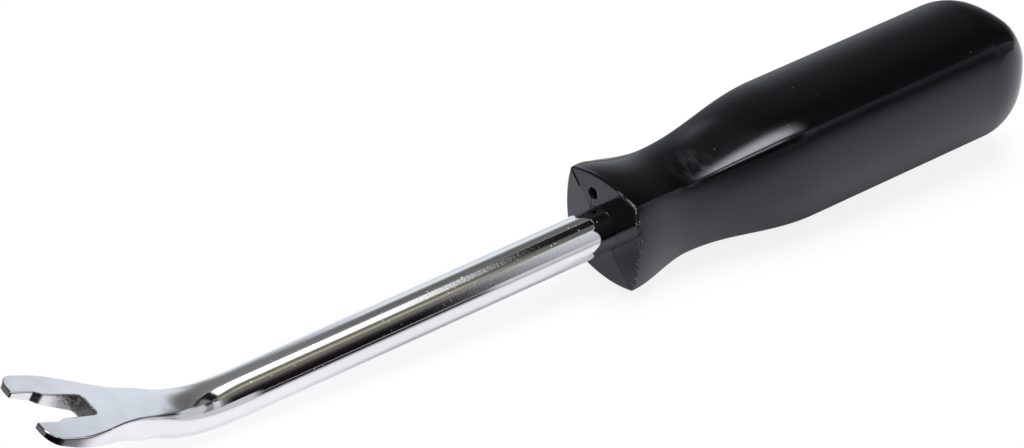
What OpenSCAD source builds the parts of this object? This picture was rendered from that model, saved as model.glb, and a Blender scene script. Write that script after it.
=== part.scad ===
// Trim removal tool: a bent and forked steel bar in a moulded handle.
// It lies as it comes to rest, on the handle's lower front edge and the outside of the bend.
// Its length runs from the fork (-X) to the handle's rear end (+X).

/* [Shank] */
// Diameter of the round bar
shank_d = 8; // [6:0.1:10]
// Handle face to the corner of the bend, along the top of the bar
shank_reach = 84.9; // [60:0.1:120]
// Angle through which the tip is bent up
bend_angle = 25.4; // [15:0.1:35]
// Inside radius of the bend
bend_r = 25; // [15:0.5:40]
// Turn of the fork about the bar, away from the handle's flats
fork_roll = 10.9; // [0:0.1:20]
// Length of the tang inside the handle
tang_len = 44; // [35:0.5:65]
// Chamfer on the end of the tang
tang_chamfer = 1; // [0.4:0.1:2]
// Depth of each of the two flats on the tang
tang_flat_depth = 0.8; // [0.3:0.1:1.5]
// Length of the flats on the tang
tang_flat_len = 16; // [8:0.5:24]

/* [Fork] */
// Corner of the bend to the ends of the prongs
fork_len = 33.7; // [28:0.1:45]
// Largest width across the two prongs
fork_w = 15.8; // [13:0.1:20]
// Length over which the bar widens into the fork
fork_flare_len = 18.5; // [12:0.5:22]
// Widest place of the fork, back from the ends of the prongs
fork_widest = 5.6; // [4:0.1:8]
// Depth of the flat below the round top of the bar
flat_depth = 1.7; // [0.8:0.1:2.5]
// Length of bar before the bend on which the flat starts
flat_lead = 5.6; // [2:0.1:7]
// Length past the bend at which the top is wholly flat
flat_run = 2.4; // [0:0.1:6]
// Thickness at the ends of the prongs
tip_t = 1.1; // [0.8:0.1:2.5]
// Radius of the outer corners of the prongs
tip_corner_r = 2.8; // [1:0.1:3.5]
// Rounding along the edges of the flat
edge_r = 0.45; // [0.2:0.05:0.8]
// The same where the round bar turns flat
neck_edge_r = 1.5; // [0.4:0.05:1.6]
// Rounding along the lower edges of the blade
under_r = 0.7; // [0.2:0.05:1]
// Length over which the round underside turns square
under_fade_len = 10.6; // [6:0.1:20]
// Part of that length which lies before the end of the bend
under_lead = 4.7; // [0:0.1:8]

/* [Notch] */
// Width of the mouth between the prongs
mouth_w = 7.2; // [6:0.1:9]
// Depth of the mouth from the ends of the prongs
mouth_depth = 4.6; // [3:0.1:6]
// Length of the slanted step from the mouth to the slot
step_len = 1.4; // [0.5:0.1:3]
// Width of the slot at the step
slot_front_w = 5.8; // [4.5:0.1:6]
// Width of the slot at its closed end
slot_back_w = 4.7; // [4:0.1:5.5]
// Depth of the whole notch from the ends of the prongs
notch_depth = 13.5; // [11:0.1:17]
// Radius in the corners of the closed end
slot_corner_r = 0.6; // [0.2:0.05:1.2]

/* [Handle] */
// Length of the handle from its front face to the end of the dome
handle_len = 91.5; // [80:0.1:120]
// Half the distance between the corners at the front, along a side
front_half = 8.25; // [7.5:0.05:10]
// The same at the narrowest place of the neck
neck_half = 6.8; // [6.5:0.05:8]
// The same on the grip
grip_half = 9.1; // [8.5:0.02:12]
// Front face to the narrowest place of the neck
neck_x = 13.3; // [9:0.1:18]
// Front face to the start of the straight grip
grip_x = 39.5; // [30:0.5:48]
// Length of the domed rear end
dome_len = 12; // [8:0.1:18]
// Fullness of the dome's shoulders, 2 for an ellipse
dome_fullness = 2.3; // [2:0.1:3]
// Radius of the bulge of each side, at the front and on the grip
bulge_r = 24; // [20:0.5:60]
// The same at the narrowest place of the neck
neck_bulge_r = 20; // [16:0.5:60]
// Rounding of the long edges at the front
front_edge_r = 0.8; // [0.3:0.1:1]
// Rounding of the long edges of the grip
grip_edge_r = 1.6; // [1:0.1:3]
// Lean of each half of the front face, back from the parting line
front_draft = 2.5; // [0:0.1:4]
// Clearance between the tang and its socket
socket_clearance = 0.05; // [0.02:0.01:0.2]

/* [Front face marks] */
// Width of the open slit on the parting line
slit_w = 0.4; // [0.2:0.05:0.8]
// Length of the slit, in from the corner
slit_len = 3.6; // [1:0.1:5]
// Depth of the slit
slit_depth = 1.2; // [0.4:0.1:3]
// Diameter of the small moulding pit
pit_d = 1.9; // [1:0.1:2.2]
// Depth of the pit
pit_depth = 2; // [0.5:0.1:4]
// Wall left between the pit and the bar
pit_wall = 1.4; // [0.6:0.1:1.8]
// Place of the pit round the bar, from the side of the handle
pit_angle = 69; // [60:1:120]

/* [Hidden] */
$fn = 64;

// Bar, bend and blade: lengths along the top of the bar, from where the blade's skin starts
shank_r = shank_d / 2;
skin_step = shank_d / 400;
blade_r = shank_r - skin_step;
skin_lead = flat_lead + shank_r / 2;
bend_tangent = bend_r * tan(bend_angle / 2);
bend_start = shank_reach - bend_tangent;
bend_arc_len = bend_r * bend_angle * PI / 180;
bend_end = skin_lead + bend_arc_len;
blade_start = bend_start - skin_lead;
blade_len = bend_end + fork_len - bend_tangent;
flat_start = skin_lead - flat_lead;
flat_len = bend_end + flat_run - flat_start;
flare_start = blade_len - fork_widest - fork_flare_len;
neck_t = shank_d - flat_depth;
neck_under_r = 0.9 * shank_r;
taper_start = bend_end - 0.92 * bend_arc_len;
taper_easing = 0.25;

// Overlap of a cutter with the faces that it opens, and a reach past the whole section
cut_over = shank_d / 8;
cut_reach = 3 * max(grip_half, fork_w / 2);

// Places across a side of the handle, with a flat land in the middle on which it rests steadily
side_shares = [-1, -0.73, -0.47, -0.22, 0.22, 0.47, 0.73, 1];

// Places round the bar that turn into the blade's section, and lengths at which the blade has a section
bar_angles = concat(
    steps(-80, -4, 8), steps(4, 58, 6), steps(66, 114, 4),
    steps(122, 176, 6), steps(184, 260, 8), steps(265, 275, 2)
);
blade_stations = concat(
    steps(0, skin_lead, 6),
    [for (i = [1:8]) mix(skin_lead, bend_end, i / 8)],
    [for (i = [1:26]) mix(bend_end, blade_len, i / 26)]
);

// Rest: the handle tips about its lower front edge until the outside of the bend touches
front_foot = -min([for (p = handle_outline(front_half, front_edge_r, bulge_r)) p[1]]);
foot_x = front_foot * tan(front_draft) / sqrt(2);
rest_tilt = min([
    for (s = blade_stations, p = blade_ring(s))
        atan2(p[1] * sin(fork_roll) + p[2] * cos(fork_roll) + front_foot, foot_x - p[0])
]);
rest_lift = front_foot * cos(rest_tilt) - foot_x * sin(rest_tilt);
tip_x = -shank_reach - fork_len * cos(bend_angle);
tip_z = (shank_r + fork_len * sin(bend_angle)) * cos(fork_roll);
nose_x = tip_x * cos(rest_tilt) - tip_z * sin(rest_tilt);
middle_x = (handle_len * cos(rest_tilt) + nose_x) / 2;

function clamp01(u) = min(max(u, 0), 1);
function mix(a, b, u) = a + (b - a) * u;
function steps(from, to, count) = [for (i = [0:count]) mix(from, to, i / count)];
function middle(ring) = [for (p = ring) 1] * ring / len(ring);
function arc_points(centre, r, from, to, count) =
    [for (a = steps(from, to, count)) centre + r * [cos(a), sin(a)]];

// Smooth step from 0 to 1 with level ends
function ease(u) = (1 - cos(180 * clamp01(u))) / 2;

// Rise from 0 to 1 that starts level, over a share of its length, and then runs straight
function ramp(u, share) =
    let (v = clamp01(u)) (v < share ? v ^ 2 / (2 * share) : v - share / 2) / (1 - share / 2);

// Closed skin over a row of rings with equal counts of points, anticlockwise seen from the last ring.
// Each end is a fan of triangles from the middle of its ring.
module loft(rings) {
    count = len(rings[0]);
    last = (len(rings) - 1) * count;
    first_hub = last + count;
    last_hub = first_hub + 1;
    faces = [
        for (i = [0:count - 1])
            let (j = (i + 1) % count) each concat(
                [[first_hub, i, j], [last_hub, last + j, last + i]],
                [for (a = [0:count:last - count]) [a + i, a + i + count, a + j]],
                [for (a = [0:count:last - count]) [a + j, a + i + count, a + j + count]]
            )
    ];
    hubs = [middle(rings[0]), middle(rings[len(rings) - 1])];
    polyhedron(concat([for (ring = rings) each ring], hubs), faces, convexity = 6);
}

// Handle section: four bulged sides through corners at (half, half), with rounded edges
function side_offset(half, side_r) = sqrt(side_r ^ 2 - half ^ 2) - half;
function side_crown(half, side_r) = side_r - side_offset(half, side_r);
function half_of_crown(crown, side_r) =
    let (k = side_r - crown) (sqrt(2 * side_r ^ 2 - k ^ 2) - k) / 2;
function turned(p, a) = [p[0] * cos(a) - p[1] * sin(a), p[0] * sin(a) + p[1] * cos(a)];
function handle_outline(half, edge_r, side_r) =
    let (
        out = side_offset(half, side_r),
        t = (sqrt(2 * (side_r - edge_r) ^ 2 - out ^ 2) - out) / 2,
        swing = atan2(t, t + out),
        side = [for (u = side_shares) [-out, 0] + side_r * [cos(u * swing), sin(u * swing)]],
        edge = arc_points([t, t], edge_r, swing, 90 - swing, 5),
        quarter = concat(side, [for (i = [1:4]) edge[i]])
    )
    [for (q = [0:3], p = quarter) turned(p, 90 * q)];
function handle_ring(x, half, edge_r, side_r) =
    [for (p = handle_outline(half, edge_r, side_r)) [x, p[0], p[1]]];

// Half width, edge rounding and bulge along the handle, x from the front face
function handle_half(x) =
    x < neck_x
        ? mix(front_half, neck_half, ease(x / neck_x))
        : mix(neck_half, grip_half, ease((x - neck_x) / (grip_x - neck_x)));
function handle_edge(x) = mix(front_edge_r, grip_edge_r, ease(x / grip_x));
function handle_side(x) =
    x < neck_x
        ? mix(bulge_r, neck_bulge_r, ease(x / neck_x))
        : mix(neck_bulge_r, bulge_r, ease((x - neck_x) / (grip_x - neck_x)));

// Dome: the section shrinks on a full ellipse while its edges round off into a circle
function dome_ring(a) =
    let (
        crown = side_crown(grip_half, bulge_r) * cos(a) ^ (2 / dome_fullness),
        x = handle_len - dome_len * (1 - sin(a) ^ (2 / dome_fullness)),
        half = half_of_crown(crown, bulge_r),
        roundest = 0.98 * crown
    )
    handle_ring(x, half, min(mix(grip_edge_r, roundest, sin(a)), roundest), bulge_r);

module handle_skin() {
    neck_to_grip = steps(neck_x, grip_x, 15);
    stations = concat([-cut_over], steps(0, neck_x, 9), [for (i = [1:15]) neck_to_grip[i]]);
    dome_angles = concat(steps(0, 80, 10), [84, 87, 89]);
    loft(concat(
        [for (x = stations) handle_ring(x, handle_half(x), handle_edge(x), handle_side(x))],
        [for (a = dome_angles) dome_ring(a)]
    ));
}

// The two halves of the front face meet on the parting line, which runs across two corners
module front_trim() {
    for (side = [0, 180])
        rotate([side - 45, 0, 0])
            rotate([0, 0, -front_draft])
                translate([-cut_reach, -cut_over, -cut_reach])
                    cube([cut_reach, cut_reach, 2 * cut_reach]);
}

// Slit on the parting line, open at the corner
module front_slit() {
    rotate([45, 0, 0])
        translate([-cut_over, front_half * sqrt(2) - slit_len, -slit_w / 2])
            cube([cut_over + slit_depth, slit_len + cut_over, slit_w]);
}

module front_pit() {
    rotate([pit_angle, 0, 0])
        translate([-cut_over, shank_r + pit_wall + pit_d / 2, 0])
            rotate([0, 90, 0])
                cylinder(d = pit_d, h = cut_over + pit_depth);
}

// Bar inside the handle, with a chamfered end and two flats; the socket is the same with clearance
module tang(clearance, front) {
    r = shank_r + clearance;
    chamfer_x = tang_len - tang_chamfer + clearance;
    flats_x = tang_len - 2 * tang_chamfer - tang_flat_len;
    difference() {
        union() {
            translate([-front, 0, 0])
                rotate([0, 90, 0])
                    cylinder(r = r, h = chamfer_x + front);
            translate([chamfer_x, 0, 0])
                rotate([0, 90, 0])
                    cylinder(r1 = r, r2 = r - tang_chamfer, h = tang_chamfer);
        }
        for (side = [0, 180])
            rotate([side, 0, 0])
                translate([flats_x + clearance, -shank_d, r - tang_flat_depth])
                    cube([tang_flat_len - 2 * clearance, 2 * shank_d, shank_d]);
    }
}

module handle() {
    color([0.05, 0.05, 0.055])
        at_rest()
            difference() {
                handle_skin();
                front_trim();
                tang(socket_clearance, cut_over);
                front_slit();
                front_pit();
            }
}

// Blade section below its top line: flat on top, rounded edges above and below
function blade_outline(half, thick, top_r, low_r) =
    concat(
        arc_points([half - low_r, low_r - thick], low_r, -90, 0, 8),
        arc_points([half - top_r, -top_r], top_r, 0, 90, 6),
        [for (u = steps(2, -2, 4)) [(half - top_r) * u / 3, 0]],
        arc_points([top_r - half, -top_r], top_r, 90, 180, 6),
        arc_points([low_r - half, low_r - thick], low_r, 180, 270, 8),
        [for (u = steps(-1, 1, 2)) [(half - low_r) * u / 2, -thick]]
    );

// Round section of the bar, with a point for each point of the blade's section
function bar_outline(r) = [for (a = bar_angles) r * [cos(a), sin(a) - 1]];

// Place on the top line at length s from the start of the skin: [forward, up, slope]
function top_line(s) =
    let (
        turn = clamp01((s - skin_lead) / bend_arc_len) * bend_angle,
        past = max(s - bend_end, 0)
    )
    [
        blade_start + min(s, skin_lead) + bend_r * sin(turn) + past * cos(turn),
        shank_r + bend_r * (1 - cos(turn)) + past * sin(turn),
        turn
    ];

// One section of the blade: the round bar turns flat, widens to the fork and tapers to the ends
function blade_ring(s) =
    let (
        flat = ease((s - flat_start) / flat_len),
        flare = ease((s - flare_start) / fork_flare_len),
        thin = ramp((s - taper_start) / (blade_len - taper_start), taper_easing),
        square = ease((s - bend_end + under_lead) / under_fade_len),
        half = mix(blade_r, fork_w / 2, flare),
        thick = mix(neck_t, tip_t, thin),
        top_r = min(mix(neck_edge_r, edge_r, square), 0.4 * thick),
        low_r = min(mix(neck_under_r, under_r, square), 0.5 * thick),
        bar = bar_outline(blade_r),
        blade = blade_outline(half, thick, top_r, low_r),
        at = top_line(s)
    )
    [
        for (i = [0:len(bar) - 1])
            let (p = mix(bar[i] - [0, skin_step], blade[i], flat))
                [-at[0] + p[1] * sin(at[2]), -p[0], at[1] + p[1] * cos(at[2])]
    ];

module blade_blank() {
    rotate([fork_roll, 0, 0])
        loft([for (s = blade_stations) blade_ring(s)]);
}

// Frame of the fork's flat: x from the corner of the bend to the ends, z up from the flat
module on_flat() {
    rotate([fork_roll, 0, 0])
        translate([-shank_reach, 0, shank_r])
            rotate([0, bend_angle, 0])
                rotate([0, 0, 180])
                    children();
}

module notch_outline() {
    back = fork_len - notch_depth;
    step = fork_len - mouth_depth;
    corner = [back + slot_corner_r, slot_back_w / 2 - slot_corner_r];
    side = concat(
        [[fork_len + cut_over, mouth_w / 2], [step, mouth_w / 2], [step - step_len, slot_front_w / 2]],
        arc_points(corner, slot_corner_r, 90, 180, 6)
    );
    polygon(concat(side, [for (i = [len(side) - 1:-1:0]) [side[i][0], -side[i][1]]]));
}

module tip_corner() {
    translate([fork_len - tip_corner_r, fork_w / 2 - tip_corner_r])
        difference() {
            square(tip_corner_r + cut_over);
            circle(tip_corner_r);
        }
}

module shank() {
    color("silver")
        at_rest()
            difference() {
                union() {
                    tang(0, blade_start + flat_start);
                    blade_blank();
                }
                on_flat()
                    translate([0, 0, -cut_reach])
                        linear_extrude(2 * cut_reach) {
                            notch_outline();
                            tip_corner();
                            mirror([0, 1]) tip_corner();
                        }
            }
}

module at_rest() {
    translate([-middle_x, 0, rest_lift])
        rotate([0, -rest_tilt, 0])
            children();
}

handle();
shank();
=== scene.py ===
import math

import bpy
import numpy as np
from mathutils import Matrix


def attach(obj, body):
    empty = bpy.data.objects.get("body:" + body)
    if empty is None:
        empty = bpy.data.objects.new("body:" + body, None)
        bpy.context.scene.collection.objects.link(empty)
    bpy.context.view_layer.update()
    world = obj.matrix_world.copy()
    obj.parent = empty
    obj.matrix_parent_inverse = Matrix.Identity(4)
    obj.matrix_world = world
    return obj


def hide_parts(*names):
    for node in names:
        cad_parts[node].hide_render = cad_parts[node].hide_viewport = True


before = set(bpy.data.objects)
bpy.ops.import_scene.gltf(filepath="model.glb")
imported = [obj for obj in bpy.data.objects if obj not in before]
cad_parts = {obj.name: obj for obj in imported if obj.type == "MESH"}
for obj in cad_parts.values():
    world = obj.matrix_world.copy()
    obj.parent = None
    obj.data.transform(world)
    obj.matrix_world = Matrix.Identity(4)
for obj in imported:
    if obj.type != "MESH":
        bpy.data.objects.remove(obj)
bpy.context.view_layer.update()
print("frame loaded")

# Lengths are in millimetres in the tool's own frame: x runs along the bar from the handle's front
# face, away from the fork, z is up from the bar's axis. The rest pose turns it into the row's frame.
rest = {"tilt": math.radians(4.27922), "shift": (12.5641, 0.0, 9.59832)}
toMetres = 0.001


def turnAtRest(vectors):
    c, s = math.cos(rest["tilt"]), math.sin(rest["tilt"])
    v = np.asarray(vectors, float)
    return np.stack([c * v[..., 0] - s * v[..., 2], v[..., 1], s * v[..., 0] + c * v[..., 2]], -1)


def atRest(points):
    return (turnAtRest(points) + np.array(rest["shift"])) * toMetres


def mix(a, b, u):
    return a + (b - a) * u


# Smooth step from 0 to 1 with level ends
def ease(u):
    return (1 - np.cos(np.pi * np.clip(u, 0, 1))) / 2


# Rise from 0 to 1 that starts level, over a share of its length, and then runs straight
def ramp(u, share):
    v = np.clip(u, 0, 1)
    return np.where(v < share, v**2 / (2 * share), v - share / 2) / (1 - share / 2)


# A socket in a node tree: operators on it add Math nodes, and make adds any other node
class Wire:
    def __init__(self, tree, socket=None):
        self.tree, self.socket = tree, socket

    def make(self, kind, settings=None, inputs=None, output=0):
        node = self.tree.nodes.new(kind)
        for key, value in (settings or {}).items():
            if key == "stops":
                elements = node.color_ramp.elements
                while len(elements) < len(value):
                    elements.new(0.5)
                for element, (place, tone) in zip(elements, value):
                    element.position, element.color = place, (*tone, 1)
            else:
                setattr(node, key, value)
        for key, value in (inputs or {}).items():
            if isinstance(value, Wire):
                self.tree.links.new(value.socket, node.inputs[key])
            elif value is not None:
                node.inputs[key].default_value = value
        return Wire(self.tree, node.outputs[output])

    # Another output of the same node
    def part(self, name):
        return Wire(self.tree, self.socket.node.outputs[name])

    def math(self, operation, a, b=None):
        return self.make("ShaderNodeMath", {"operation": operation}, {0: a, 1: b})

    def __add__(self, other):
        return self.math("ADD", self, other)

    def __radd__(self, other):
        return self.math("ADD", other, self)

    def __sub__(self, other):
        return self.math("SUBTRACT", self, other)

    def __rsub__(self, other):
        return self.math("SUBTRACT", other, self)

    def __mul__(self, other):
        return self.math("MULTIPLY", self, other)

    def __rmul__(self, other):
        return self.math("MULTIPLY", other, self)

    def __truediv__(self, other):
        return self.math("DIVIDE", self, other)

    def __rtruediv__(self, other):
        return self.math("DIVIDE", other, self)

    def __pow__(self, other):
        return self.math("POWER", self, other)

    # 0 below low, 1 above high, smooth between
    def step(self, low, high):
        return self.make(
            "ShaderNodeMapRange",
            {"interpolation_type": "SMOOTHSTEP", "clamp": True},
            {"Value": self, "From Min": low, "From Max": high},
        )


def newMaterial(name):
    material = bpy.data.materials.new(name)
    material.use_nodes = True
    material.node_tree.nodes.clear()
    return material, Wire(material.node_tree)


def surface(wire, shader, kind="ShaderNodeOutputMaterial"):
    node = wire.tree.nodes.new(kind)
    wire.tree.links.new(shader.socket, node.inputs["Surface"])


def readAttribute(wire, name, output):
    return wire.make("ShaderNodeAttribute", {"attribute_name": name}, {}, output)


# The colour below where the mask is 0, the one above where it is 1
def laidOver(below, mask, above):
    first, second = (v if isinstance(v, Wire) else (*v, 1) for v in (below, above))
    return mask.make("ShaderNodeMix", {"data_type": "RGBA"}, {"Factor": mask, 6: first, 7: second}, 2)


def noise(place, scale, detail, stretch=None):
    if stretch:
        place = place.make("ShaderNodeVectorMath", {"operation": "MULTIPLY"}, {0: place, 1: stretch})
    return place.make("ShaderNodeTexNoise", {}, {"Vector": place, "Scale": scale, "Detail": detail}, "Fac")


# Scattered round dots: one in each cell whose chance passes the mark, fading over the two sizes
def dots(place, scale, sizes, mark, blend=0.02):
    cell = place.make("ShaderNodeTexVoronoi", {}, {"Vector": place, "Scale": scale}, "Distance")
    chance = cell.make("ShaderNodeSeparateColor", {}, {0: cell.part("Color")}, "Red")
    return (1 - cell.step(*sizes)) * chance.step(mark, mark + blend)


# One mesh from several grids of points: rows x columns x 3, closed across the columns or not.
# Points that lie together become one, and faces that lose an edge to that become triangles or go.
mergeSize = 2e-4


def buildPiece(name, grids, material):
    points, quads, masks = [], [], {"flat": [], "worn": []}
    start = 0
    for grid in grids:
        p = grid["points"]
        rows, cols = p.shape[:2]
        index = start + np.arange(rows * cols).reshape(rows, cols)
        if grid.get("closed"):
            index = np.concatenate([index, index[:, :1]], 1)
        if grid.get("flip"):
            index = index[:, ::-1]
        corners = [index[:-1, :-1], index[:-1, 1:], index[1:, 1:], index[1:, :-1]]
        quads.append(np.stack(corners, -1).reshape(-1, 4))
        points.append(p.reshape(-1, 3))
        for key, values in masks.items():
            values.append(np.broadcast_to(grid.get(key, 0.0), (rows, cols)).reshape(-1))
        start += rows * cols
    points, quads = np.concatenate(points), np.concatenate(quads)
    keys = np.round(points / mergeSize).astype(np.int64)
    first, inverse = np.unique(keys, axis=0, return_index=True, return_inverse=True)[1:]
    inverse = inverse.reshape(-1)
    tool, quads = points[first], inverse[quads]
    faces = []
    for quad in quads.tolist():
        kept = [v for i, v in enumerate(quad) if v != quad[i - 1]]
        if len(set(kept)) == len(kept) >= 3:
            faces.append(kept)
    mesh = bpy.data.meshes.new(name)
    mesh.from_pydata(atRest(tool).tolist(), [], faces)
    mesh.update()
    place = mesh.attributes.new("tool", "FLOAT_VECTOR", "POINT")
    place.data.foreach_set("vector", tool.astype(np.float32).ravel())
    for key, values in masks.items():
        mask = np.zeros(len(first), np.float32)
        np.maximum.at(mask, inverse, np.concatenate(values).astype(np.float32))
        mesh.attributes.new(key, "FLOAT", "POINT").data.foreach_set("value", mask)
    mesh.polygons.foreach_set("use_smooth", np.ones(len(mesh.polygons), bool))
    mesh.materials.append(material)
    piece = bpy.data.objects.new(name, mesh)
    bpy.context.scene.collection.objects.link(piece)
    print(name, len(mesh.vertices), "vertices", len(mesh.polygons), "faces")
    return piece


plastic = {
    "tone": (0.0022, 0.0022, 0.0026),
    "dustTone": (0.0115, 0.0115, 0.0125),
    # Light tone of the chips and specks, also used for the painted highlight on the upper front edge
    "chipAndHighlightTone": (0.42, 0.42, 0.43),
    "smudgeTone": (0.036, 0.037, 0.043),
    "specularTint": (0.84, 0.86, 1.0, 1),
    "ior": 1.53,
    "rough": 0.12,
    "hazeScale": 0.35,
    "hazeStretch": (0.35, 1.0, 1.0),
    "hazeTint": 0.12,
    "dustScale": 4.5,
    "dustSpan": (0.70, 0.78),
    "dustTint": 0.55,
    "dustRough": 0.10,
    "scratchScale": 1.6,
    "scratchStretch": (0.12, 3.0, 3.0),
    "scratchSpan": (0.62, 0.70),
    "scratchRough": 0.05,
    "grainScale": 1.3,
    "relief": 0.10,
    "reliefDepth": 0.00003,
    # Noise scale shared by the chips and the painted edge highlight
    "chipAndHighlightScale": 2.6,
    "chipSpan": (0.60, 0.66),
    "chipTint": 0.8,
    "chipRough": 0.2,
    # Painted highlight along the upper front edge: mask levels, noise span and strength
    "edgeHighlightLevels": (1.0, 1.6),
    "edgeHighlightSpan": (0.36, 0.50),
    "edgeHighlightTint": 0.7,
    "smudgeAt": (16.6, -3.2, 8.2),
    "smudgeR": 5.0,
    "smudgeCore": 0.3,
    "smudgeTint": 0.6,
    "smudgeRough": 0.07,
    "wipeScale": 0.75,
    "wipeStretch": (1.0, 0.4, 0.4),
    "wipeSpan": (0.36, 0.66),
    "speckScale": 0.45,
    "speckSizes": (0.03, 0.07),
    "speckMark": 0.70,
    "speckTint": 0.35,
}


# Glossy black with faint haze, dust and scratches, a hazy finger mark on the neck, chips along the
# near front edge, a painted highlight along the upper front edge, and scattered specks
def plasticMaterial():
    p = plastic
    material, wire = newMaterial("handlePlastic")
    tool = readAttribute(wire, "tool", "Vector")
    worn = readAttribute(wire, "worn", "Fac")
    haze = noise(tool, p["hazeScale"], 4.0, p["hazeStretch"])
    dust = noise(tool, p["dustScale"], 2.0).step(*p["dustSpan"])
    scratch = noise(tool, p["scratchScale"], 3.0, p["scratchStretch"]).step(*p["scratchSpan"])
    fromMark = wire.make(
        "ShaderNodeVectorMath", {"operation": "DISTANCE"}, {0: tool, 1: p["smudgeAt"]}, "Value"
    )
    wipes = noise(tool, p["wipeScale"], 3.0, p["wipeStretch"]).step(*p["wipeSpan"])
    smudge = (1 - (fromMark / p["smudgeR"]).step(p["smudgeCore"], 1.0)) * wipes
    # Noise shared by the chips and the painted edge highlight
    chipAndHighlightNoise = noise(tool, p["chipAndHighlightScale"], 3.0)
    chips = wire.math("MINIMUM", worn, 1.0) * chipAndHighlightNoise.step(*p["chipSpan"])
    # Painted highlight along the upper front edge, where the mask is above 1
    edgeHighlight = worn.step(*p["edgeHighlightLevels"]) * chipAndHighlightNoise.step(*p["edgeHighlightSpan"])
    specks = dots(tool, p["speckScale"], p["speckSizes"], p["speckMark"])
    rough = p["rough"] * (0.75 + 0.5 * haze) + p["dustRough"] * dust + p["scratchRough"] * scratch
    rough = rough + p["smudgeRough"] * smudge + p["chipRough"] * chips
    # Chips, the painted edge highlight and the specks, all laid over in the light tone
    marksAndHighlight = p["chipTint"] * chips + p["edgeHighlightTint"] * edgeHighlight + p["speckTint"] * specks
    tone = laidOver(p["tone"], p["dustTint"] * dust + p["hazeTint"] * haze, p["dustTone"])
    tone = laidOver(tone, p["smudgeTint"] * smudge, p["smudgeTone"])
    tone = laidOver(tone, marksAndHighlight, p["chipAndHighlightTone"])
    height = noise(tool, p["grainScale"], 3.0) + 0.5 * scratch
    relief = wire.make(
        "ShaderNodeBump", {}, {"Strength": p["relief"], "Distance": p["reliefDepth"], "Height": height}
    )
    sockets = {
        "Base Color": tone,
        "Roughness": rough,
        "IOR": p["ior"],
        "Specular Tint": p["specularTint"],
        "Normal": relief,
    }
    surface(wire, wire.make("ShaderNodeBsdfPrincipled", {}, sockets))
    return material


chrome = {
    "tone": (0.88, 0.885, 0.905),
    "hazeTone": (0.8184, 0.82305, 0.84165),
    "cutTone": (0.34, 0.335, 0.33),
    "rough": 0.035,
    "flatRough": 0.13,
    "hazeScale": 0.28,
    "hazeTint": 0.5,
    "grainScale": 2.2,
    "grainRelief": 0.25,
    "relief": 0.35,
    "reliefDepth": 0.00003,
    "cutScale": 1.8,
    "cutTint": 0.85,
    "cutRough": 0.3,
    "cutRelief": 14.0,
    "pitScale": 1.3,
    "pitSizes": (0.06, 0.16),
    "pitMark": 0.66,
}


# Bright plating with faint haze and pits, softer on the fork's flat, bare and rugged where the notch
# was cut
def chromeMaterial():
    p = chrome
    material, wire = newMaterial("shankChrome")
    tool = readAttribute(wire, "tool", "Vector")
    flat = readAttribute(wire, "flat", "Fac")
    worn = readAttribute(wire, "worn", "Fac")
    haze = noise(tool, p["hazeScale"], 4.0)
    pits = dots(tool, p["pitScale"], p["pitSizes"], p["pitMark"])
    rough = p["rough"] * (0.7 + 0.6 * haze) + flat * p["flatRough"] * (0.6 + 0.8 * haze)
    rough = rough + p["cutRough"] * worn
    tone = laidOver(p["tone"], p["hazeTint"] * haze, p["hazeTone"])
    tone = laidOver(tone, p["cutTint"] * worn, p["cutTone"])
    rugged = p["cutRelief"] * worn * noise(tool, p["cutScale"], 4.0)
    height = p["grainRelief"] * noise(tool, p["grainScale"], 3.0) - pits + rugged
    relief = wire.make(
        "ShaderNodeBump", {}, {"Strength": p["relief"], "Distance": p["reliefDepth"], "Height": height}
    )
    sockets = {"Base Color": tone, "Metallic": 1.0, "Roughness": rough, "Normal": relief}
    surface(wire, wire.make("ShaderNodeBsdfPrincipled", {}, sockets))
    return material


handle = {
    "length": 91.5,
    "frontHalf": 8.25,
    "neckHalf": 6.8,
    "gripHalf": 9.1,
    "frontX": 1.5,
    "neckX": 13.3,
    "gripX": 39.5,
    "domeLen": 12.0,
    "domeFullness": 2.3,
    "poleRound": 0.98,
    "bulgeR": 24.0,
    "neckBulgeR": 20.0,
    "frontEdgeR": 0.8,
    "gripEdgeR": 1.6,
    "frontDraft": 2.5,
    "draftFade": 4.0,
    "lipR": 0.35,
    "boreR": 4.05,
    "boreDepth": 44.1,
    "seamW": 0.09,
    "seamDepth": 0.09,
    "upperSeam": 0.4,
    "slitW": 0.4,
    "slitLen": 3.6,
    "slitDepth": 1.2,
    "slitBlend": 0.12,
    "slitEndBlend": 0.25,
    "pitD": 1.9,
    "pitDepth": 2.0,
    "pitPlace": (2.27, 5.93),
    "pitBlend": 0.24,
    "crackFrom": (2.85, 2.8),
    "crackHalf": 0.16,
    "crackDepth": 0.12,
    "sideCount": 56,
    "edgeCount": 16,
    "sideCrowding": 0.7,
    "lipCount": 6,
    "rowCounts": (6, 26, 44, 14),
    "domeAngles": (84, 44),
    "poleAngles": (86, 87.5, 88.6, 89.3, 89.7, 89.95),
    "faceLead": 0.012,
    "faceSpan": (0.03, 0.985, 62),
    "boreRows": (0.0, 0.3, 2.0, 20.0),
}


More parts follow.
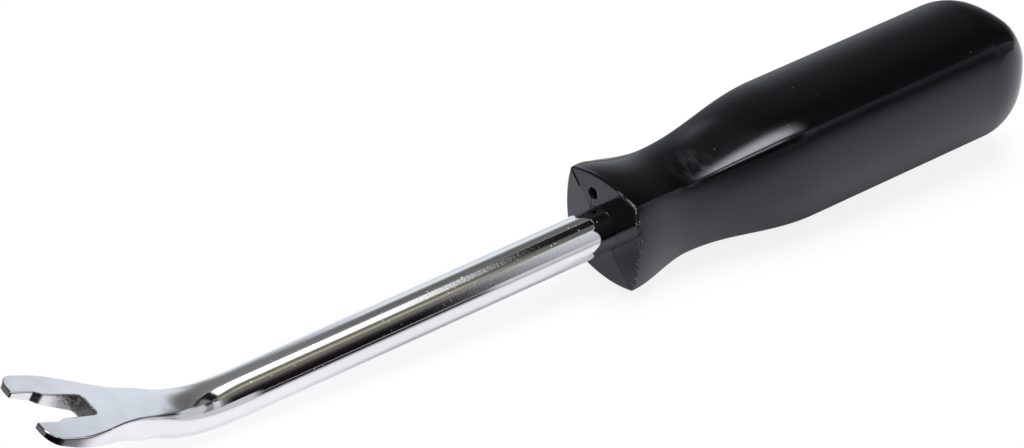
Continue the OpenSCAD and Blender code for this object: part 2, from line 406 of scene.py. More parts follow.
# Section of the handle, one per row: four sides, each an arc of radius R about (-out, 0) through the
# corners (half, half), joined by edges of radius r; rows x columns x (y, z)
def handleSection(half, edgeR, sideR):
    h = handle
    half, edgeR, sideR = (np.asarray(v)[:, None] for v in (half, edgeR, sideR))
    out = np.sqrt(sideR**2 - half**2) - half
    corner = (np.sqrt(2 * (sideR - edgeR) ** 2 - out**2) - out) / 2
    swing = np.arctan2(corner, corner + out)
    v = np.linspace(-1, 1, h["sideCount"] + 1)[None, :-1]
    a = swing * (v + h["sideCrowding"] * np.sin(np.pi * v) / np.pi)
    b = swing + (np.pi / 2 - 2 * swing) * np.arange(h["edgeCount"]) / h["edgeCount"]
    y = np.concatenate([-out + sideR * np.cos(a), corner + edgeR * np.cos(b)], 1)
    z = np.concatenate([sideR * np.sin(a), corner + edgeR * np.sin(b)], 1)
    quarters = [(y, z), (-z, y), (-y, -z), (z, -y)]
    return np.stack([np.concatenate([q[i] for q in quarters], 1) for i in (0, 1)], -1)


# A value along the handle, eased from the front to the neck and from the neck to the grip
def alongHandle(x, front, neck, grip):
    h = handle
    past = ease((x - h["neckX"]) / (h["gripX"] - h["neckX"]))
    return np.where(x < h["neckX"], mix(front, neck, ease(x / h["neckX"])), mix(neck, grip, past))


# How far the front face lies behind x = 0: each half leans back from the parting line y = z, and the
# slit, the pit and the hairline crack from the shank to the pit are sunk into it
def frontDepth(y, z):
    h = handle
    off, along = (y - z) / math.sqrt(2), (y + z) / math.sqrt(2)
    lean = np.abs(off) * math.tan(math.radians(h["frontDraft"]))
    slitFrom = h["frontHalf"] * math.sqrt(2) - h["slitLen"]
    slit = ease(((h["slitW"] + h["slitBlend"]) / 2 - np.abs(off)) / h["slitBlend"])
    slit = slit * ease((along - slitFrom) / h["slitEndBlend"])
    (pitY, pitZ), (crackY, crackZ) = h["pitPlace"], h["crackFrom"]
    pit = ease(((h["pitD"] + h["pitBlend"]) / 2 - np.hypot(y - pitY, z - pitZ)) / h["pitBlend"])
    crackAt = np.clip((z - crackZ) / (pitZ - crackZ), 0, 1)
    fromCrack = np.hypot(y - mix(crackY, pitY, crackAt), np.minimum(z - crackZ, 0))
    crack = ease((h["crackHalf"] - fromCrack) / h["crackHalf"]) * (z < pitZ)
    seam = h["seamDepth"] * mix(1.0, h["upperSeam"], along > 0) * np.exp(-((off / h["seamW"]) ** 2))
    sunk = np.maximum(h["slitDepth"] * slit, h["pitDepth"] * pit)
    return lean + seam + np.maximum(sunk, h["crackDepth"] * crack)


# Chips along the near front edge, and a painted highlight along the upper front edge
edgeChipsAndHighlight = {
    "band": 0.9,
    "chipTo": 1.08,
    "chipFade": 0.9,
    "chipLow": 0.55,
    "chipRise": (-2.0, 9.0),
    "edgeHighlightX": 0.15,
    # Painted highlight along the upper front edge
    "edgeHighlightW": 0.08,
    "edgeHighlightFrom": -2.4,
    "edgeHighlightFade": 2.0,
    "edgeHighlightLevel": 1.8,
}


# Chips and a painted highlight along the front edge: up to 1 for chips on the near side, above 1 for
# the painted highlight on its upper edge, towards the near corner
def frontChipsAndHighlight(x, y, z):
    w, inner = edgeChipsAndHighlight, handle["frontHalf"] - edgeChipsAndHighlight["band"]
    chips = np.clip((w["chipTo"] - x) / w["chipFade"], 0, 1) * (y < -inner)
    chips = chips * mix(w["chipLow"], 1.0, ease((z - w["chipRise"][0]) / w["chipRise"][1]))
    # Painted highlight on the upper edge, towards the near corner
    edgeHighlight = np.exp(-(((x - w["edgeHighlightX"]) / w["edgeHighlightW"]) ** 2)) * (z > inner)
    edgeHighlight = edgeHighlight * ease((w["edgeHighlightFrom"] - y) / w["edgeHighlightFade"])
    return np.maximum(chips, w["edgeHighlightLevel"] * edgeHighlight)


# Skin of sections from the rounded lip to the dome's pole, the front face, and the socket for the tang
def buildHandle():
    h = handle
    lip = np.radians(np.linspace(90, 0, h["lipCount"]))
    lipX, inset = h["lipR"] * (1 - np.sin(lip)), h["lipR"] * (1 - np.cos(lip))
    stations = [h["lipR"], h["frontX"], h["neckX"], h["gripX"], h["length"] - h["domeLen"]]
    spans = zip(stations, stations[1:], h["rowCounts"])
    x = np.concatenate([lipX] + [np.linspace(*span)[1:] for span in spans])
    half = alongHandle(x, h["frontHalf"], h["neckHalf"], h["gripHalf"])
    half[: len(lip)] -= inset
    edge = mix(h["frontEdgeR"], h["gripEdgeR"], ease(x / h["gripX"]))
    side = alongHandle(x, h["bulgeR"], h["neckBulgeR"], h["bulgeR"])
    # Dome: crown cos(a)^(2/n), place sin(a)^(2/n), with the edges rounding off into a circle
    domeTo, domeCount = h["domeAngles"]
    a = np.radians(np.concatenate([np.linspace(0, domeTo, domeCount)[1:], h["poleAngles"]]))
    power, r = 2 / h["domeFullness"], h["bulgeR"]
    crown = (r - math.sqrt(r**2 - h["gripHalf"] ** 2) + h["gripHalf"]) * np.cos(a) ** power
    domeX = h["length"] - h["domeLen"] * (1 - np.sin(a) ** power)
    domeHalf = (np.sqrt(2 * r**2 - (r - crown) ** 2) - (r - crown)) / 2
    roundEdge = h["poleRound"] * crown
    domeEdge = np.minimum(mix(h["gripEdgeR"], roundEdge, np.sin(a)), roundEdge)
    section = handleSection(
        np.concatenate([half, domeHalf]),
        np.concatenate([edge, domeEdge]),
        np.concatenate([side, np.full(len(a), r)]),
    )
    rows = np.concatenate([x, domeX])[:, None]
    y, z = section[..., 0], section[..., 1]
    skinX = rows + frontDepth(y, z) * np.clip(1 - rows / h["draftFade"], 0, 1)
    pole = np.broadcast_to([h["length"], 0.0, 0.0], (1, y.shape[1], 3))
    skin = np.concatenate([np.stack([skinX, y, z], -1), pole])
    # Chips, and above 1 the painted highlight, along the front edge; the shank uses the same mask for its
    # rough cut
    worn = np.concatenate([frontChipsAndHighlight(rows, y, z), np.zeros((1, y.shape[1]))])
    # Front face: straight lines from the lip's inner ring to the socket's mouth
    ring = section[0]
    angle = np.arctan2(ring[:, 1], ring[:, 0])
    mouth = h["boreR"] * np.stack([np.cos(angle), np.sin(angle)], -1)
    v = np.concatenate([[0.0, h["faceLead"]], np.linspace(*h["faceSpan"]), [1.0]])[:, None, None]
    face = mix(ring[None], mouth[None], v)
    face = np.concatenate([frontDepth(face[..., 0], face[..., 1])[..., None], face], -1)
    depth = np.array([*h["boreRows"], h["boreDepth"]])[:, None]
    boreX = face[-1, :, 0][None] * (1 - depth / h["boreDepth"]) + depth
    bore = np.concatenate([boreX[..., None], np.broadcast_to(mouth, (len(depth), *mouth.shape))], -1)
    bottom = np.broadcast_to([h["boreDepth"], 0.0, 0.0], (1, len(mouth), 3))
    return [
        {"points": skin, "closed": True, "worn": worn},
        {"points": face, "closed": True, "flip": True},
        {"points": np.concatenate([bore, bottom]), "closed": True, "flip": True},
    ]


shank = {
    "barD": 8.0,
    "reach": 84.9,
    "bendAngle": 25.4,
    "bendR": 25.0,
    "roll": 10.9,
    "tangLen": 44.0,
    "tangChamfer": 1.0,
    "forkLen": 33.7,
    "forkW": 15.8,
    "flareLen": 18.5,
    "widest": 5.6,
    "flatDepth": 1.7,
    "flatLead": 5.6,
    "flatRun": 2.4,
    "tipT": 1.1,
    "thinShare": 0.92,
    "thinEase": 0.25,
    "tipCornerR": 2.8,
    "edgeR": 0.45,
    "neckEdgeR": 1.5,
    "tipEdgeR": 0.2,
    "tipFadeFrom": 12.0,
    "tipFade": 9.0,
    "bellyShare": 0.9,
    "underFade": 10.6,
    "underLead": 4.7,
    "mouthW": 7.2,
    "mouthDepth": 4.6,
    "stepLen": 1.4,
    "slotFrontW": 5.8,
    "slotBackW": 4.7,
    "notchDepth": 13.5,
    "slotCornerR": 0.6,
    "cutLen": 6.5,
    "cutFade": 4.0,
    "cutBand": 1.0,
    "topSpread": 32.0,
    "sideSpread": 4.0,
    "lowSpread": 10.0,
    "hiddenRows": (40.0, 2.0),
    "barRows": (1.0, 14),
    "bendCount": 70,
    "bladeCount": 40,
    "cornerCount": 9,
    "slotCount": 22,
    "mouthCount": 7,
    "tipCount": 17,
}
barR = shank["barD"] / 2
skinLead = shank["flatLead"] + barR / 2
bend = math.radians(shank["bendAngle"])
bendTangent = shank["bendR"] * math.tan(bend / 2)
bendEnd = skinLead + shank["bendR"] * bend
bladeStart = shank["reach"] - bendTangent - skinLead
bladeLen = bendEnd + shank["forkLen"] - bendTangent
notchBack = bladeLen - shank["notchDepth"]
notchStep = bladeLen - shank["mouthDepth"]
# Where the full sections end: just short of the notch, whose closed end is straight over this half width
bodyEnd = notchBack - shank["tipEdgeR"]
closedHalf = shank["slotBackW"] / 2 - shank["slotCornerR"]


# Place in the tool's frame of a point at length s along the top of the bar, across it and above it.
# The top line is straight, then an arc of radius bendR, then straight again.
def onBlade(s, across, above):
    turn = np.clip((s - skinLead) / (bendEnd - skinLead), 0, 1) * bend
    past = np.maximum(s - bendEnd, 0)
    forward = bladeStart + np.minimum(s, skinLead) + shank["bendR"] * np.sin(turn) + past * np.cos(turn)
    up = barR + shank["bendR"] * (1 - np.cos(turn)) + past * np.sin(turn)
    x, y, z = -forward + above * np.sin(turn), -across, up + above * np.cos(turn)
    c, r = math.cos(math.radians(shank["roll"])), math.sin(math.radians(shank["roll"]))
    return np.stack(np.broadcast_arrays(x, c * y - r * z, r * y + c * z), -1)


# Thickness: the flattened bar's, then a level start and a straight taper to the tip's
def bladeThick(s):
    h = shank
    start = bendEnd - h["thinShare"] * (bendEnd - skinLead)
    taper = ramp((s - start) / (bladeLen - start), h["thinEase"])
    return mix(2 * barR - h["flatDepth"], h["tipT"], taper)


# Half width: the bar's radius, eased to half the fork's width over the flare
def bladeHalf(s):
    h = shank
    start = bladeLen - h["widest"] - h["flareLen"]
    return mix(barR, h["forkW"] / 2, ease((s - start) / h["flareLen"]))


# How far the round bar has turned square at length s
def squared(s):
    return ease((s - bendEnd + shank["underLead"]) / shank["underFade"])


# Rounding of the upper edge: large at the bend, small on the blade, finest at the tip
def edgeRadius(s):
    h = shank
    neck = mix(h["neckEdgeR"], h["edgeR"], squared(s))
    return mix(neck, h["tipEdgeR"], ease((s - bladeLen + h["tipFadeFrom"]) / h["tipFade"]))


# Half width of the notch at length s: slot, slanted step and mouth
def notchHalf(s):
    h = shank
    places = [notchBack, notchStep - h["stepLen"], notchStep, bladeLen]
    widths = np.array([h["slotBackW"], h["slotFrontW"], h["mouthW"], h["mouthW"]])
    return np.interp(s, places, widths / 2)


topCount, wallCount, lowCount, sideCount, midCount = 10, 3, 16, 14, 12
topArc = np.linspace(0, 1, topCount + 1)
wallShares = np.arange(1, wallCount + 1) / (wallCount + 1)
lowArc = np.linspace(0, 1, lowCount + 1)
rim, inside = 0.015, 0.06
acrossShares = np.concatenate([[0, rim], np.linspace(inside, 1 - inside, sideCount - 3), [1 - rim, 1]])


# Edge of the blade from its top to its underside, as (out, above) from the upper edge of the rounding
def edgeProfile(topR, lowR, thick):
    top, low = topArc * np.pi / 2, lowArc * np.pi / 2
    topR, lowR, thick = (np.asarray(v)[..., None] for v in (topR, lowR, thick))
    out = [topR * np.sin(top), topR + 0 * wallShares, topR - lowR + lowR * np.cos(low)]
    wall = mix(-topR, lowR - thick, wallShares)
    above = [-topR * (1 - np.cos(top)), wall, lowR - thick - lowR * np.sin(low)]
    return np.concatenate(out, -1), np.concatenate(above, -1)


# The profile's places on the round bar, in degrees from the bar's side
def edgeAngles():
    top, side, low = 90 - shank["topSpread"], shank["sideSpread"], shank["lowSpread"] - 90
    return np.concatenate([mix(top, side, topArc), mix(side, -side, wallShares), mix(-side, low, lowArc)])


# Full sections from the tang's end to the notch: a circle that turns into a flat-topped bar with a
# round belly, and then into a plate with rounded edges
def barGrid():
    h = shank
    flatFrom, flatTo = skinLead - h["flatLead"], bendEnd + h["flatRun"]
    hidden = [-bladeStart - depth for depth in h["hiddenRows"]]
    barFrom, barCount = h["barRows"]
    bar = np.linspace(barFrom - bladeStart, 0, barCount)
    bent = np.linspace(0, flatTo, h["bendCount"])[1:]
    s = np.concatenate([hidden, bar, bent, np.linspace(flatTo, bodyEnd, h["bladeCount"])[1:]])
    flat = ease((s - flatFrom) / (flatTo - flatFrom))[:, None]
    thick, half, topR = bladeThick(s), bladeHalf(s), edgeRadius(s)
    lowR = np.minimum(mix(h["bellyShare"] * barR, topR, squared(s)), thick / 2)
    closedShare = closedHalf / (bladeHalf(bodyEnd) - edgeRadius(bodyEnd))
    rightShares = mix(1.0, closedShare, acrossShares)
    middleShares = np.linspace(closedShare, -closedShare, midCount + 1)[1:-1]
    shares = np.concatenate([rightShares, middleShares, -rightShares[::-1]])
    out, above = edgeProfile(topR, lowR, thick)
    wide, under = (half - topR)[:, None], (half - lowR)[:, None]
    edge = wide + out
    across = np.concatenate([wide * shares, -edge[:, 1:-1], -under * shares, edge[:, -2:0:-1]], 1)
    level = np.zeros((len(s), len(shares)))
    height = np.concatenate([level, above[:, 1:-1], level - thick[:, None], above[:, -2:0:-1]], 1)
    angles = edgeAngles()
    top, low = 90 - h["topSpread"] * shares, 270 - h["lowSpread"] * shares
    onBar = np.radians(np.concatenate([top, 180 - angles[1:-1], low, angles[-2:0:-1]]))
    across = mix(barR * np.cos(onBar), across, flat)
    height = mix(barR * (np.sin(onBar) - 1), height, flat)
    # The tang's chamfered end: full ring, small ring, centre
    tangEnd = -bladeStart - h["tangLen"]
    small = (barR - h["tangChamfer"]) / barR
    full = onBlade(np.array([[tangEnd + h["tangChamfer"]]]), across[:1], height[:1])
    last = onBlade(np.array([[tangEnd]]), across[:1] * small, (height[:1] + barR) * small - barR)
    hub = onBlade(np.full((1, across.shape[1]), tangEnd), 0.0, -barR)
    skin = np.concatenate([hub, last, full, onBlade(s[:, None], across, height)])
    mask = np.zeros(skin.shape[:2])
    mask[-len(s) :, : len(shares)] = flat
    return {"points": skin, "closed": True, "flat": mask}


# Plan of one prong: lengths s with the half widths of the flat top's outer and inner edge
def prongEdges():
    h = shank
    edge, corner, tipR = h["tipEdgeR"], h["slotCornerR"] + h["tipEdgeR"], h["tipCornerR"]
    turn = np.radians(np.linspace(0, 90, h["cornerCount"]))
    closed = notchBack + h["slotCornerR"] - corner * np.cos(turn)
    slotEnd, tipStart = notchStep - h["stepLen"], bladeLen - tipR
    slot = np.linspace(closed[-1], slotEnd, h["slotCount"])[1:]
    step = np.linspace(slotEnd, notchStep, h["mouthCount"])[1:]
    mouth = np.linspace(notchStep, tipStart, h["mouthCount"])[1:]
    tipTurn = np.radians(np.linspace(0, 90, h["tipCount"]))[1:]
    tip = tipStart + (tipR - edge) * np.sin(tipTurn)
    rows = np.concatenate([closed, slot, step, mouth, tip])
    outer = bladeHalf(rows) - edgeRadius(rows)
    outer[-len(tip) :] = h["forkW"] / 2 - tipR + (tipR - edge) * np.cos(tipTurn)
    inner = notchHalf(rows) + edge
    inner[: len(closed)] = closedHalf + corner * np.sin(turn)
    return rows, outer, inner


# Unit normals to the left of a path in plan
def leftOf(path):
    d = np.gradient(path, axis=0)
    n = np.stack([-d[:, 1], d[:, 0]], -1)
    return n / np.linalg.norm(n, axis=1, keepdims=True)


# The wall round the prongs and the notch: the edge profile carried along one path in plan, out round
# one prong, across the closed end and back round the other
def forkWall(rows, outer, inner, tipAcross):
    h = shank
    edge = h["tipEdgeR"]
    outerPath, innerPath = np.stack([rows, outer], -1), np.stack([rows, inner], -1)
    outerN, innerN = leftOf(outerPath), -leftOf(innerPath)
    outerN[0], outerN[-1] = (0, 1), (1, 0)
    innerN[0], innerN[-1] = (1, 0), (math.sqrt(0.5), -math.sqrt(0.5))
    endPath = np.stack([np.full(len(tipAcross), rows[-1]), tipAcross], -1)[1:-1]
    midAcross = np.linspace(closedHalf, -closedHalf, midCount + 1)[1:-1]
    midPath = np.stack([np.full(len(midAcross), bodyEnd), midAcross], -1)
    endN, midN = (np.broadcast_to([1.0, 0.0], p.shape) for p in (endPath, midPath))
    right = np.concatenate([outerPath, endPath, innerPath[::-1]])
    rightN = np.concatenate([outerN, endN, innerN[::-1]])
    rightR = np.concatenate([edgeRadius(rows), np.full(len(endPath) + len(rows), edge)])
    mirror = np.array([1, -1])
    path = np.concatenate([right, midPath, right[::-1] * mirror])
    normals = np.concatenate([rightN, midN, rightN[::-1] * mirror])
    radii = np.concatenate([rightR, np.full(len(midPath), edge), rightR[::-1]])
    s, t = path[:, :1], path[:, 1:]
    out, above = edgeProfile(radii, radii, bladeThick(path[:, 0]))
    points = onBlade(s + normals[:, :1] * out, t + normals[:, 1:] * out, above)
    # The rough cut lies at the notch's closed end
    cut = ease((notchBack + h["cutLen"] - s) / h["cutFade"]) * (np.abs(t) < notchHalf(s) + h["cutBand"])
    return {"points": points, "flip": True, "worn": cut}


def buildShank():
    rows, outer, inner = prongEdges()
    across = mix(outer[:, None], inner[:, None], acrossShares)
    s, thick = rows[:, None], bladeThick(rows)[:, None]
    grids = [barGrid()]
    for side in (1, -1):
        top = onBlade(s, side * across, 0 * across)
        low = onBlade(s, side * across, 0 * across - thick)
        grids.append({"points": top, "flip": side < 0, "flat": 1.0})
        grids.append({"points": low, "flip": side > 0})
    return grids + [forkWall(rows, outer, inner, across[-1])]


handlePiece = buildPiece("handleBody", buildHandle(), plasticMaterial())
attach(handlePiece, "root")
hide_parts("handle")
shankPiece = buildPiece("shankBar", buildShank(), chromeMaterial())
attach(shankPiece, "root")
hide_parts("shank")
print("pieces built")

floorSheet = {
    "r": 4000.0,
    "rimCount": 96,
    "glow": 0.85,
    "matt": 0.16,
    "sheetTone": (0.95, 0.945, 0.98),
    "brightTone": (1.0, 0.995, 1.03),
    "brightGlow": 1.03,
    "darkTone": (0.004, 0.003, 0.004),
    "barReach": 33.0,
    "reachRise": 0.2,
    "gripReach": 85.0,
    "leastReach": 5.0,
    "barPower": 6.0,
    "gripPower": 1.8,
    "gripFrom": (30.0, 95.0),
    "farDark": 0.75,
    "farX": (130.0, 200.0),
    "farY": (0.0, 60.0),
    "leftDark": 0.85,
    "leftX": (-135.0, -112.0),
    "forkLift": 0.65,
    "forkX": (-60.0, -20.0),
    "neckLift": 0.4,
    "neckFrom": (2.0, 14.0),
    "neckTo": (30.0, 60.0),
}


# A pale round sheet, whose own glow keeps the shadow pale. Reflections see it fade out on the near
# side, as 1 / (1 + (distance / reach) ^ power), sharply by the bar and slowly by the grip, and on the
# far side beyond the handle's end. Lifted places show evenly bright in reflections.
def stageFloor():
    f = floorSheet
    material, wire = newMaterial("paleFloor")
    place = wire.make("ShaderNodeTexCoord", {}, {}, "Object")
    row = wire.make("ShaderNodeSeparateXYZ", {}, {0: place}, "X")
    x, y = row / toMetres, row.part("Y") / toMetres
    glow = wire.make("ShaderNodeEmission", {}, {"Color": (1, 1, 1, 1), "Strength": f["glow"]})
    matt = wire.make("ShaderNodeBsdfDiffuse", {}, {"Color": (f["matt"], f["matt"], f["matt"], 1)})
    lit = wire.make("ShaderNodeAddShader", {}, {0: glow, 1: matt})
    byGrip = x.step(*f["gripFrom"])
    reach = f["barReach"] + f["reachRise"] * x + f["gripReach"] * byGrip
    reach = wire.math("MAXIMUM", reach, f["leastReach"])
    power = f["barPower"] - (f["barPower"] - f["gripPower"]) * byGrip
    near = (wire.math("MAXIMUM", 0.0 - y, 0.001) / reach) ** power
    beyond = f["farDark"] * x.step(*f["farX"]) * y.step(*f["farY"])
    beyond = beyond + f["leftDark"] * (1 - x.step(*f["leftX"]))
    away = 1 - (1 - beyond) / (1 + near)
    lifted = f["forkLift"] * (1 - x.step(*f["forkX"]))
    lifted = lifted + f["neckLift"] * x.step(*f["neckFrom"]) * (1 - x.step(*f["neckTo"]))
    sheet = wire.make("ShaderNodeBsdfDiffuse", {}, {"Color": (*f["sheetTone"], 1)})
    brightColor = {"Color": (*f["brightTone"], 1), "Strength": f["brightGlow"]}
    bright = wire.make("ShaderNodeEmission", {}, brightColor)
    even = wire.make("ShaderNodeMixShader", {}, {0: lifted, 1: sheet, 2: bright})
    dark = wire.make("ShaderNodeEmission", {}, {"Color": (*f["darkTone"], 1), "Strength": 1.0})
    mirrored = wire.make("ShaderNodeMixShader", {}, {0: away, 1: even, 2: dark})
    glossy = wire.make("ShaderNodeLightPath", {}, {}, "Is Glossy Ray")
    surface(wire, wire.make("ShaderNodeMixShader", {}, {0: glossy, 1: lit, 2: mirrored}))
    material.cycles.emission_sampling = "NONE"
    a = np.arange(f["rimCount"]) * 2 * np.pi / f["rimCount"]
    rim = toMetres * f["r"] * np.stack([np.cos(a), np.sin(a), 0 * a], -1)
    mesh = bpy.data.meshes.new("floor")
    mesh.from_pydata(rim.tolist(), [], [list(range(len(a)))])
    mesh.materials.append(material)
    floor = bpy.data.objects.new("floor", mesh)
    bpy.context.scene.collection.objects.link(floor)


# Tones by degrees round the tool's long axis, from the far side over the top
def toneRamp(angle, tones):
    low, high = tones[0][0], tones[-1][0]
    stops = [((place - low) / (high - low), tone) for place, tone in tones]
    return angle.make("ShaderNodeValToRGB", {"stops": stops}, {0: (angle - low) / (high - low)}, "Color")


def litBy(below, light, hue=(1.0, 1.0, 1.0)):
    glow = light.make("ShaderNodeVectorMath", {"operation": "SCALE"}, {0: hue, "Scale": light})
    return light.make("ShaderNodeVectorMath", {"operation": "ADD"}, {0: below, 1: glow})


# Points round the tool's axis: x, r cos(a), r sin(a)
wallRows, wallColumns = 13, 96


def roundGrid(x, r, angles):
    a = np.radians(np.linspace(*angles, wallColumns))[None, :]
    return np.stack(np.broadcast_arrays(x, r * np.cos(a), r * np.sin(a)), -1)


# A wall or card of the studio, seen only in reflections. Its paint gives the colour, and where it shows
# if it fades out.
def stageGlow(name, points, paint):
    material, wire = newMaterial(name)
    tool = readAttribute(wire, "tool", "Vector")
    x = wire.make("ShaderNodeSeparateXYZ", {}, {0: tool}, "X")
    color, shown = paint(x)
    shader = wire.make("ShaderNodeEmission", {}, {"Color": color, "Strength": 1.0})
    if shown:
        clear = wire.make("ShaderNodeBsdfTransparent")
        shader = wire.make("ShaderNodeMixShader", {}, {0: shown, 1: clear, 2: shader})
    surface(wire, shader)
    material.cycles.emission_sampling = "NONE"
    card = buildPiece(name, [{"points": points}], material)
    card.visible_camera = card.visible_shadow = card.visible_diffuse = False


# Degrees round the tool's axis at the place whose parts x carries, from the far side over the top
def angleRound(x):
    return x.math("ARCTAN2", x.part("Z"), x.part("Y")) * (180 / math.pi)


# Part of a tunnel round the tool's axis
def stageWall(name, wall, paint):
    along = np.linspace(*wall["ends"], wallRows)[:, None]
    stageGlow(name, roundGrid(along, wall["r"], wall["angles"]), paint)


ceiling = {
    "r": 3000.0,
    "ends": (-15000.0, 15000.0),
    "angles": (-2.0, 112.0),
    "boxGlow": 8.5,
    "boxFall": 0.8,
    "boxAt": (0.21, 0.115),
    "boxHalf": (0.27, 0.10),
    "boxHue": (1.0, 0.985, 0.9),
    "boxFrom": (20.0, 40.0),
    "boxCut": (0.44, 0.53),
    "screenGlow": 1.2,
    "screenCut": (0.525, 0.585),
    "screenFrom": (74.0, 80.0),
    "screenTo": (100.0, 108.0),
    "lifts": [
        (0.22, (0.74, 0.86), (76.0, 88.0)),
        (0.26, (1.2, 1.6), (76.0, 88.0)),
        (0.14, (1.2, 1.5), (30.0, 44.0)),
    ],
    "leftEnd": (-0.35, -0.15),
    "leftTone": (0.07, 0.06, 0.055),
    "tones": [
        (-2, (0.60, 0.63, 0.67)),
        (4, (0.56, 0.59, 0.63)),
        (10, (0.43, 0.45, 0.48)),
        (16, (0.33, 0.34, 0.36)),
        (22, (0.255, 0.26, 0.275)),
        (28, (0.17, 0.17, 0.18)),
        (35, (0.13, 0.13, 0.135)),
        (43, (0.11, 0.11, 0.115)),
        (51, (0.09, 0.09, 0.09)),
        (58, (0.07, 0.07, 0.07)),
        (65, (0.04, 0.04, 0.04)),
        (72, (0.012, 0.012, 0.012)),
        (112, (0.010, 0.010, 0.010)),
    ],
}


# Far side and ceiling with the softbox, boxGlow exp(-boxFall rho^3) with rho its elliptic distance, the
# dimmer screen next to it, and grey lifts to the right. k is the place along x over the radius.
def paintCeiling(x):
    c, angle = ceiling, angleRound(x)
    (midK, midY), (halfK, halfY) = c["boxAt"], c["boxHalf"]
    k, slope = x / c["r"], x.part("Y") / x.part("Z")
    apart = ((k - midK) / halfK) ** 2.0 + ((slope - midY) / halfY) ** 2.0
    box = c["boxGlow"] * x.math("EXPONENT", -c["boxFall"] * apart**1.5)
    box = box * angle.step(*c["boxFrom"]) * (1 - k.step(*c["boxCut"]))
    screen = (1 - k.step(*c["screenCut"])) * angle.step(*c["screenFrom"])
    light = c["screenGlow"] * screen * (1 - angle.step(*c["screenTo"]))
    for glow, kFrom, angleFrom in c["lifts"]:
        light = light + glow * k.step(*kFrom) * angle.step(*angleFrom)
    tone = litBy(litBy(toneRamp(angle, c["tones"]), box, c["boxHue"]), light)
    return laidOver(tone, 1 - k.step(*c["leftEnd"]), c["leftTone"]), None


nearWall = {
    "r": 700.0,
    "ends": (-4000.0, 4000.0),
    "angles": (105.0, 188.0),
    "paleFrom": (345.0, 430.0),
    "dim": 0.6,
    "dimFrom": (480.0, 520.0),
    "dimTone": (0.02, 0.02, 0.02),
    "greyFrom": (600.0, 690.0),
    "greyTone": (0.57, 0.575, 0.59),
    "stripGlow": 4.5,
    "stripX": ((120.0, 150.0), (245.0, 268.0)),
    "stripAngles": ((108.0, 116.0), (124.0, 134.0)),
    "leftEnd": (-420.0, -160.0),
    "leftTone": (0.07, 0.06, 0.055),
    "tones": [
        (104, (0.32, 0.31, 0.29)),
        (107, (0.13, 0.13, 0.11)),
        (112, (0.17, 0.165, 0.13)),
        (117, (0.28, 0.27, 0.20)),
        (121, (0.45, 0.44, 0.31)),
        (125, (0.38, 0.37, 0.27)),
        (128, (0.19, 0.185, 0.16)),
        (138, (0.15, 0.145, 0.135)),
        (144, (0.08, 0.075, 0.07)),
        (151, (0.03, 0.026, 0.027)),
        (160, (0.010, 0.008, 0.009)),
        (188, (0.005, 0.003, 0.004)),
    ],
    "paleTones": [
        (104, (0.12, 0.12, 0.12)),
        (128, (0.10, 0.10, 0.095)),
        (131, (0.74, 0.75, 0.78)),
        (154, (0.62, 0.63, 0.66)),
        (188, (0.40, 0.41, 0.43)),
    ],
}


# Near side: dark to the left with a bright strip, then a pale wall that dims, and grey at the right
def paintNear(x):
    w, angle = nearWall, angleRound(x)
    tone = laidOver(toneRamp(angle, w["tones"]), x.step(*w["paleFrom"]), toneRamp(angle, w["paleTones"]))
    tone = laidOver(tone, w["dim"] * x.step(*w["dimFrom"]), w["dimTone"])
    tone = laidOver(tone, x.step(*w["greyFrom"]), w["greyTone"])
    (fromX, toX), (fromAngle, toAngle) = w["stripX"], w["stripAngles"]
    strip = x.step(*fromX) * (1 - x.step(*toX)) * angle.step(*fromAngle) * (1 - angle.step(*toAngle))
    tone = litBy(tone, w["stripGlow"] * strip)
    return laidOver(tone, 1 - x.step(*w["leftEnd"]), w["leftTone"]), None


farCard = {
    "r": 100.0,
    "ends": (-60.0, 62.0),
    "angles": (3.0, 76.0),
    "rightFrom": (-24.0, 14.0),
    "tones": [
        (2, (0.66, 0.69, 0.73)),
        (12, (0.58, 0.61, 0.65)),
        (19, (0.42, 0.44, 0.47)),
        (28, (0.25, 0.255, 0.265)),
        (38, (0.20, 0.20, 0.20)),
        (66, (0.20, 0.20, 0.195)),
        (76, (0.30, 0.30, 0.29)),
    ],
    "rightTones": [
        (2, (0.60, 0.63, 0.68)),
        (14, (0.80, 0.85, 0.925)),
        (34, (0.80, 0.85, 0.925)),
        (41, (0.32, 0.32, 0.315)),
        (47, (0.16, 0.16, 0.15)),
        (62, (0.13, 0.13, 0.12)),
        (76, (0.20, 0.20, 0.19)),
    ],
}


# A card beyond the bar on the far side
def paintFarCard(x):
    c, angle = farCard, angleRound(x)
    right = toneRamp(angle, c["rightTones"])
    return laidOver(toneRamp(angle, c["tones"]), x.step(*c["rightFrom"]), right), None


endCard = {
    "x": 150.0,
    "r": (1.0, 112.0),
    "angles": (-2.0, 188.0),
    "fade": (70.0, 112.0),
    "tones": [
        (-2, (0.17, 0.175, 0.19)),
        (10, (0.13, 0.135, 0.14)),
        (22, (0.085, 0.087, 0.09)),
        (35, (0.055, 0.055, 0.058)),
        (60, (0.04, 0.04, 0.04)),
        (72, (0.012, 0.012, 0.012)),
        (90, (0.04, 0.04, 0.04)),
        (128, (0.06, 0.06, 0.06)),
        (131, (0.33, 0.335, 0.35)),
        (154, (0.28, 0.285, 0.30)),
        (188, (0.19, 0.195, 0.205)),
    ],
}


# A dim card across the tool's axis behind the handle's end, fading out towards its rim
def paintEndCard(x):
    radius = (x.part("Y") ** 2.0 + x.part("Z") ** 2.0) ** 0.5
    return toneRamp(angleRound(x), endCard["tones"]), 1 - radius.step(*endCard["fade"])


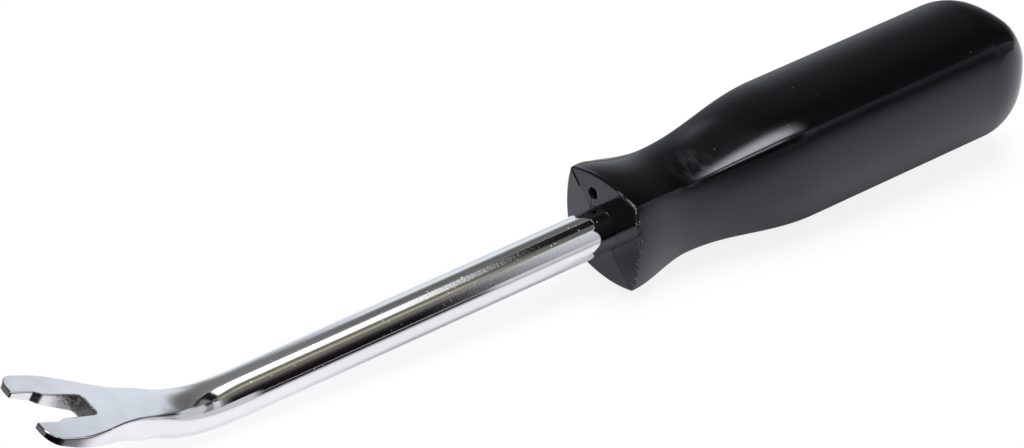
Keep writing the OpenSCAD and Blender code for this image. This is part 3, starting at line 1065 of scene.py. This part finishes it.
# Low cards on the near side, each given by two opposite corners, with ends that fade out
lowCards = {
    "bendCard": {"low": (-79.0, -20.0, -4.0), "high": (-63.0, -20.0, 4.7)},
    "barCard": {"low": (-5.0, -45.0, -10.2), "high": (27.0, -45.0, 2.5)},
}
lowCardLook = {"tone": (0.62, 0.62, 0.63, 1), "fades": (6.0, 3.0)}


def stageLowCard(name, low, high):
    left, right = lowCardLook["fades"]

    def paint(x):
        shown = x.step(low[0], low[0] + left) * (1 - x.step(high[0] - right, high[0]))
        return lowCardLook["tone"], shown

    points = np.array([[(x, *low[1:]), (x, *high[1:])] for x in (low[0], high[0])])
    stageGlow(name, points, paint)


keyLamp = {"place": (166.0, 25.0, 600.0), "r": 187.0, "power": 2.4}


def addLamp():
    lamp = bpy.data.lights.new("keyLight", "AREA")
    lamp.shape, lamp.size, lamp.energy = "DISK", 2 * keyLamp["r"] * toMetres, keyLamp["power"]
    key = bpy.data.objects.new("keyLight", lamp)
    turned = Matrix(turnAtRest(np.eye(3)).T.tolist()).to_4x4()
    key.matrix_world = Matrix.Translation(atRest(keyLamp["place"]).tolist()) @ turned
    key.visible_camera = key.visible_glossy = False
    bpy.context.scene.collection.objects.link(key)


sky = {"ambient": 0.5}


# White where it is seen, mirrored or looked through, and dimmer as a light
def setWorld():
    world = bpy.data.worlds.new("studioWorld")
    bpy.context.scene.world = world
    world.use_nodes = True
    world.node_tree.nodes.clear()
    wire = Wire(world.node_tree)
    path = wire.make("ShaderNodeLightPath", {}, {}, "Is Camera Ray")
    seen = path + path.part("Is Glossy Ray") + path.part("Is Transmission Ray")
    strength = sky["ambient"] + (1 - sky["ambient"]) * wire.math("MINIMUM", seen, 1.0)
    back = wire.make("ShaderNodeBackground", {}, {"Color": (1, 1, 1, 1), "Strength": strength})
    surface(wire, back, "ShaderNodeOutputWorld")


# Camera: measured on the photograph in the tool's frame, its clip range in metres
view = {
    "place": (-406.396, -497.473, 442.700),
    "turn": math.radians(37.924),
    "down": math.radians(34.518),
    "roll": math.radians(-0.119),
    "lens": 164.44,
    "sensor": 36.0,
    "clip": (0.05, 20.0),
}


def setCamera():
    v = view
    turn, down = v["turn"], v["down"]
    level = np.array([math.cos(turn), -math.sin(turn), 0.0])
    ahead = np.array([math.sin(turn), math.cos(turn), 0.0])
    forward = math.cos(down) * ahead - np.array([0.0, 0.0, math.sin(down)])
    up = np.cross(level, forward)
    c, s = math.cos(v["roll"]), math.sin(v["roll"])
    axes = turnAtRest(np.stack([c * level + s * up, -s * level + c * up, -forward]))
    data = bpy.data.cameras.new("photoCamera")
    data.sensor_fit, data.sensor_width, data.lens = "HORIZONTAL", v["sensor"], v["lens"]
    data.clip_start, data.clip_end = v["clip"]
    camera = bpy.data.objects.new("photoCamera", data)
    turned = Matrix(axes.T.tolist()).to_4x4()
    camera.matrix_world = Matrix.Translation(atRest(v["place"]).tolist()) @ turned
    bpy.context.scene.collection.objects.link(camera)
    bpy.context.scene.camera = camera


stageFloor()
stageWall("ceiling", ceiling, paintCeiling)
stageWall("nearWall", nearWall, paintNear)
stageWall("farCard", farCard, paintFarCard)
endRings = np.linspace(*endCard["r"], wallRows)[:, None]
stageGlow("endCard", roundGrid(endCard["x"], endRings, endCard["angles"]), paintEndCard)
for name, corners in lowCards.items():
    stageLowCard(name, **corners)
addLamp()
setWorld()
setCamera()
bpy.context.scene.view_settings.view_transform = "Standard"
print("stage set")
